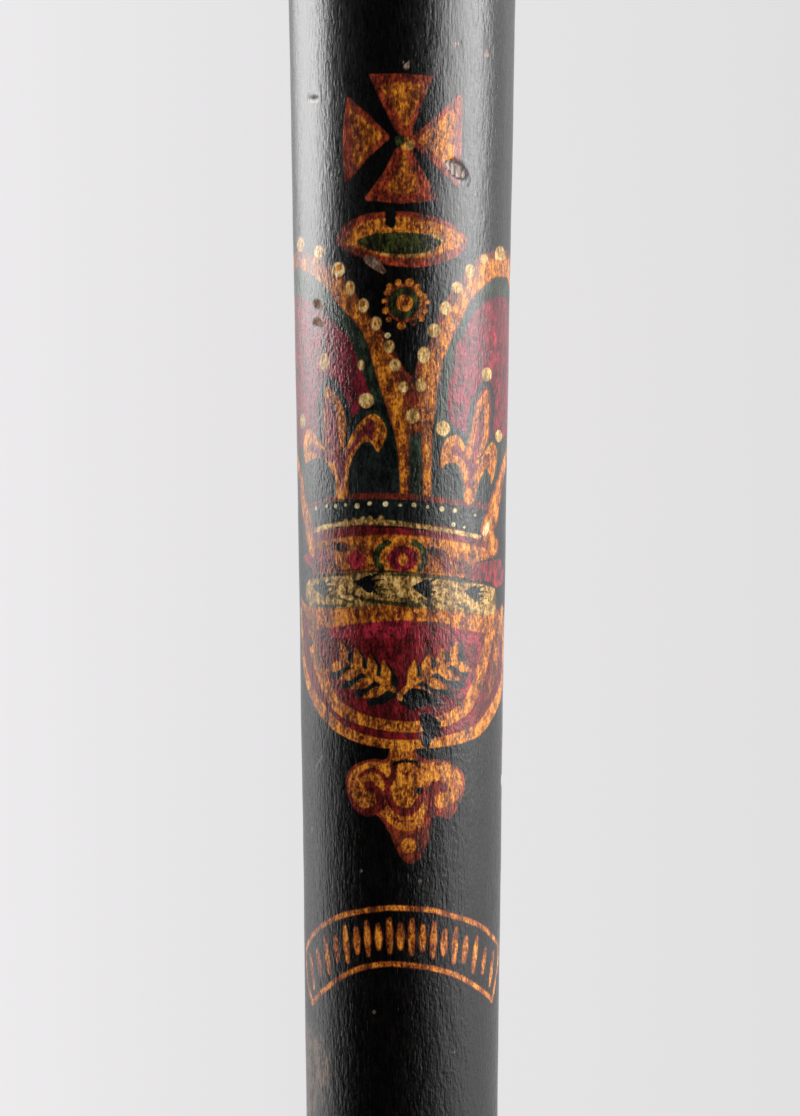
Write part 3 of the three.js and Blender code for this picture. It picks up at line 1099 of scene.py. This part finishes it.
# Colours as on a screen: the bare varnish, the open grain, and the wood where the varnish is worn thin
VARNISH = ((2, 2, 2), (5, 4, 4), (12, 10, 8))
GRAIN_DARK = (16, 7, 4)
THINNED = (104, 84, 68)

# The noise from which a crack shows and at which it is whole, and how dark it gets
CRACKS_SHOW = (0.4, 0.33, 0.0, 0.6)

# The worn patches: how far their edge wanders and how soft it is, in millimetres, how much is rubbed
# through, and how pale that gets
WORN_EDGE = {"Wander": 9.0, "Softness": 1.2, "Rubbed": 0.56}
WORN_PALENESS = 0.75

# The gloss: the noise of the grain and the roughness that follows it, the edge of a bare place in
# millimetres, and how dull it is there
GRAIN_GLOSS = (0.3, 0.7, 0.22, 0.34)
BARE_EDGE = (-0.4, 0.3)
BARE_DULLNESS = 0.5

# The varnish's relief: the edge of the crazing in millimetres, how much it adds to the pebbles and how
# strong they are without it, how strong the ripple is, how the whole gets stronger from 0.14 m up the
# staff to its middle, and its height in metres
CRAZED_EDGE = (-1.5, 1.5)
CRAZED_PEBBLES, PLAIN_PEBBLES = 0.9, 0.75
RIPPLE_SHARE = 1.3
STRONGER_DOWN = (0.14, 0.0, 0.8, 1.5)
BUMP_HEIGHT = 0.00011
VARNISH_IOR = 1.5


def colour(red, green, blue):
    """A colour as it is read on a screen, 0 to 255, in the light's own linear measure."""
    parts = [c / 255 for c in (red, green, blue)]
    linear = [c / 12.92 if c <= 0.04045 else ((c + 0.055) / 1.055) ** 2.4 for c in parts]
    return (*linear, 1.0)


def shader_group(name, inputs, output, kind="Float"):
    """A group with inputs by name, each a number or a colour, and one output."""
    tree = bpy.data.node_groups.new(name, "ShaderNodeTree")
    for label, default in inputs.items():
        socket = "NodeSocketColor" if isinstance(default, tuple) else "NodeSocketFloat"
        new_socket(tree, label, socket, "INPUT", default)
    new_socket(tree, output, "NodeSocket" + kind, "OUTPUT")
    return tree, add(tree, "NodeGroupInput").outputs


def use_group(tree, group, inputs):
    return add(tree, "ShaderNodeGroup", inputs, node_tree=group).outputs[0]


def mix_colours(tree, share, a, b):
    inputs = {"Factor": share, 6: a, 7: b}
    return add(tree, "ShaderNodeMix", inputs, data_type="RGBA").outputs[2]


def streaks_group():
    """Marks drawn out along the grain, of a Width in metres and longer than wide by Stretch."""
    inputs = {"Width": 0.0005, "Stretch": 20.0, "Shift": 0.0, "Roughness": 0.6}
    tree, given = shader_group("drawn-out marks", inputs, "Value")
    where = add(tree, "ShaderNodeTexCoord").outputs["Object"]
    shorter = maths(tree, "DIVIDE", 1.0, given["Stretch"])
    squeeze = add(tree, "ShaderNodeCombineXYZ", {"X": 1.0, "Y": shorter, "Z": 1.0}).outputs[0]
    drawn = add(tree, "ShaderNodeVectorMath", {0: where, 1: squeeze}, operation="MULTIPLY")
    inputs = {"Vector": drawn.outputs[0], "W": given["Shift"], "Detail": 3.0}
    inputs |= {"Scale": maths(tree, "DIVIDE", 1.0, given["Width"]), "Roughness": given["Roughness"]}
    noise = add(tree, "ShaderNodeTexNoise", inputs, noise_dimensions="4D")
    add(tree, "NodeGroupOutput", {"Value": noise.outputs[0]})
    return tree


def edge_group():
    """How much a coat covers: Distance is from its edge in millimetres, less than nought inside it."""
    inputs = {"Distance": 1.0, "Unevenness": 0.5, "Wander": 0.3, "Softness": 0.12}
    tree, given = shader_group("brushed edge", inputs | {"Rubbing": 0.5, "Rubbed": 0.3}, "Cover")
    off = maths(tree, "MULTIPLY", maths(tree, "SUBTRACT", given["Unevenness"], 0.5), given["Wander"])
    distance = maths(tree, "ADD", given["Distance"], off)
    within = maths(tree, "MULTIPLY", given["Softness"], -1.0)
    cover = remap(tree, distance, given["Softness"], within, kind="SMOOTHSTEP")
    bare = maths(tree, "SUBTRACT", given["Rubbed"], RUB_BLUR)
    left = remap(tree, given["Rubbing"], bare, given["Rubbed"])
    add(tree, "NodeGroupOutput", {"Cover": maths(tree, "MULTIPLY", cover, left)})
    return tree


def pigment_group():
    """A hand-laid colour that runs from Deep through Body to Bright with the brush marks."""
    grey = (0.1, 0.1, 0.1, 1)
    inputs = {"Deep": grey, "Body": grey, "Bright": grey, "Marks": 0.5}
    tree, given = shader_group("hand-laid colour", inputs, "Color", "Color")
    low = remap(tree, given["Marks"], DEEP_UNTIL, BODY_AT)
    high = remap(tree, given["Marks"], BODY_AT, BRIGHT_FROM)
    body = mix_colours(tree, low, given["Deep"], given["Body"])
    add(tree, "NodeGroupOutput", {"Color": mix_colours(tree, high, body, given["Bright"])})
    return tree


def new_finish(name):
    """A material with nothing in it yet."""
    material = bpy.data.materials.new(name)
    material.use_nodes = True
    material.node_tree.nodes.clear()
    return material, material.node_tree


def draw_marks(tree):
    """The noise of each kind of mark."""
    streaks = streaks_group()
    made = {}
    for name, settings in MARKS.items():
        inputs = dict(zip(("Width", "Stretch", "Shift", "Roughness"), settings))
        made[name] = use_group(tree, streaks, inputs)
    return made


def coat_mask(tree, name, low, high):
    """A soft mask from a distance in millimetres: whole below low, none above high."""
    return remap(tree, painted(tree, name), high, low, kind="SMOOTHSTEP")


def surface_colour(tree, marks):
    """The varnish, the coats over one another, the cracks and the worn places."""
    edge, pigment = edge_group(), pigment_group()
    uneven = maths(tree, "SUBTRACT", marks["fine"], 0.5)
    brushed = maths(tree, "MULTIPLY_ADD", uneven, FINE_SHARE, marks["broad"])

    def hand_laid(tones):
        deep, body, bright = (colour(*tone) for tone in tones)
        inputs = {"Deep": deep, "Body": body, "Bright": bright, "Marks": brushed}
        return use_group(tree, pigment, inputs)

    shown = hand_laid(VARNISH)
    for coat, (*tones, wander, softness, rubbed) in PIGMENTS.items():
        inputs = {"Distance": painted(tree, coat), "Unevenness": marks["fine"], "Wander": wander}
        inputs |= {"Softness": softness, "Rubbed": rubbed}
        inputs["Rubbing"] = marks["patches" if coat in THIN_COATS else "flecks"]
        shown = mix_colours(tree, use_group(tree, edge, inputs), shown, hand_laid(tones))
    cracks = remap(tree, marks["cracks"], *CRACKS_SHOW)
    shown = mix_colours(tree, cracks, shown, colour(*GRAIN_DARK))
    inputs = {"Distance": painted(tree, WORN), "Unevenness": marks["patches"], "Rubbing": marks["broad"]}
    thin = maths(tree, "MULTIPLY", use_group(tree, edge, inputs | WORN_EDGE), WORN_PALENESS)
    return mix_colours(tree, thin, shown, colour(*THINNED))


def surface_normal(tree, marks):
    """The grain, the ripple, and the pebbles that crazing raises."""
    crazed = coat_mask(tree, CRAZED, *CRAZED_EDGE)
    crazing = maths(tree, "MULTIPLY_ADD", crazed, CRAZED_PEBBLES, PLAIN_PEBBLES)
    height = maths(tree, "MULTIPLY_ADD", marks["pebbles"], crazing, marks["grain"])
    height = maths(tree, "MULTIPLY_ADD", marks["ripple"], RIPPLE_SHARE, height)
    height = maths(tree, "MULTIPLY", height, remap(tree, object_place(tree, "Y"), *STRONGER_DOWN))
    inputs = {"Height": height, "Strength": 1.0, "Distance": BUMP_HEIGHT}
    return add(tree, "ShaderNodeBump", inputs).outputs[0]


def painted_varnish():
    material, tree = new_finish("painted varnish")
    marks = draw_marks(tree)
    dull = maths(tree, "MULTIPLY", coat_mask(tree, BARE, *BARE_EDGE), BARE_DULLNESS)
    roughness = maths(tree, "ADD", remap(tree, marks["grain"], *GRAIN_GLOSS), dull)
    inputs = {"Base Color": surface_colour(tree, marks), "Roughness": roughness}
    inputs |= {"Normal": surface_normal(tree, marks), "IOR": VARNISH_IOR}
    surface = add(tree, "ShaderNodeBsdfPrincipled", inputs)
    add(tree, "ShaderNodeOutputMaterial", {"Surface": surface.outputs[0]})
    return material


# Studio

PALE = 0.8
PAPER = (1.0, 0.985, 1.0, 1)

# How the floor's glow fades from 8 cm left of the staff to 8 cm right of it, and its own grey
FLOOR_GLOW = (-0.08, 0.08, PALE - 0.005, PALE - 0.12)
FLOOR_GREY = (0.09, 0.09, 0.09, 1)
FLOOR_HALF = 20

# The cards reach from below the frame to past the head. Each has its corners across and up, near and far
# at the pommel's end and then far and near at the head's, their strengths in the same order, and the
# share of its length over which one end gives way to the other
CARDS_LOW, CARDS_HIGH = -0.12, 0.3
CARDS = {
    "left_card": (
        ((-0.045, 0.001), (-0.16, 0.014), (-0.16, 0.048), (-0.045, 0.001)),
        (2.1, 1.0, 21.5, 4.7), (0.34, 0.65),
    ),
    "right_card": (
        ((0.3, 0.02), (0.3, 0.42), (0.3, 0.42), (0.3, 0.02)),
        (2.7, 0.3, 3.9, 16.5), (0.22, 0.77),
    ),
    "low_card": (
        ((0.04, 0.001), (0.3, 0.019), (0.3, 0.019), (0.04, 0.001)),
        (1.1, 1.3, 1.6, 1.3), (0.0, 0.6),
    ),
}

# The lamps' size in metres, power in watts and place, and the fill that only matt colours get
LAMPS = {
    "right_lamp": (1.2, 35, (1.3, -0.1, 0.42)),
    "left_lamp": (0.5, 14, (-1.3, 0.05, 0.12)),
}
MATT_FILL = 0.3


def floor_finish():
    """A pale floor that mostly glows, so that shadows on it stay faint."""
    material, tree = new_finish("pale floor")
    level = remap(tree, object_place(tree, "X"), *FLOOR_GLOW)
    glow = add(tree, "ShaderNodeEmission", {"Color": PAPER, "Strength": level})
    matt = add(tree, "ShaderNodeBsdfDiffuse", {"Color": FLOOR_GREY})
    both = add(tree, "ShaderNodeAddShader", {0: glow.outputs[0], 1: matt.outputs[0]})
    add(tree, "ShaderNodeOutputMaterial", {"Surface": both.outputs[0]})
    return material


def card_glow(name, strengths, fade):
    material, tree = new_finish(name)
    place = add(tree, "ShaderNodeUVMap", uv_map="card").outputs[0]
    place = add(tree, "ShaderNodeSeparateXYZ", {0: place})
    near, far, far_up, near_up = strengths
    low = remap(tree, place.outputs["X"], 0.0, 1.0, near, far)
    high = remap(tree, place.outputs["X"], 0.0, 1.0, near_up, far_up)
    strength = remap(tree, place.outputs["Y"], *fade, low, high, "SMOOTHSTEP")
    glow = add(tree, "ShaderNodeEmission", {"Strength": strength})
    add(tree, "ShaderNodeOutputMaterial", {"Surface": glow.outputs[0]})
    return material


def new_sheet(name, corners, material):
    """A flat sheet of the studio's with four corners."""
    mesh = bpy.data.meshes.new(name)
    mesh.from_pydata(corners, [], [(0, 1, 2, 3)])
    mesh.materials.append(material)
    sheet = new_object(name, mesh)
    return sheet


def make_floor():
    half = FLOOR_HALF
    corners = [(-half, -half, 0), (half, -half, 0), (half, half, 0), (-half, half, 0)]
    new_sheet("floor", corners, floor_finish())


def light_card(name, edges, strengths, fade):
    """A glowing card whose reflection runs down the staff. Only the gloss sees it."""
    ends = (CARDS_LOW, CARDS_LOW, CARDS_HIGH, CARDS_HIGH)
    corners = [(x, y, z) for (x, z), y in zip(edges, ends)]
    card = new_sheet(name, corners, card_glow(name, strengths, fade))
    side = card.data.uv_layers.new(name="card")
    for loop, place in zip(side.data, ((0, 0), (1, 0), (1, 1), (0, 1))):
        loop.uv = place
    card.visible_camera = False
    card.visible_diffuse = False
    card.visible_shadow = False


def soft_lamp(name, size, energy, place):
    """A round lamp that lights the matt colours only."""
    data = bpy.data.lights.new(name, "AREA")
    data.shape = "DISK"
    data.size = size
    data.energy = energy
    lamp = new_object(name, data)
    lamp.location = place
    lamp.rotation_euler = (-Vector(place)).to_track_quat("-Z", "Y").to_euler()
    lamp.visible_glossy = False
    lamp.visible_camera = False


def make_lights():
    for name, settings in CARDS.items():
        light_card(name, *settings)
    for name, settings in LAMPS.items():
        soft_lamp(name, *settings)


def make_surroundings():
    """A pale room for the camera, a soft fill for matt colours, and nothing for the gloss."""
    world = bpy.data.worlds.new("room")
    bpy.context.scene.world = world
    world.use_nodes = True
    tree = world.node_tree
    tree.nodes.clear()
    seen = add(tree, "ShaderNodeLightPath").outputs["Is Camera Ray"]
    strength = remap(tree, seen, 0.0, 1.0, MATT_FILL, PALE)
    glow = add(tree, "ShaderNodeBackground", {"Color": PAPER, "Strength": strength})
    add(tree, "ShaderNodeOutputWorld", {"Surface": glow.outputs[0]})
    world.cycles_visibility.glossy = False
    bpy.context.scene.view_settings.view_transform = "Standard"


def main():
    make_camera()
    staff = make_staff(painted_varnish())
    make_floor()
    make_lights()
    make_surroundings()
    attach(staff, "root")
    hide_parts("staff")


main()
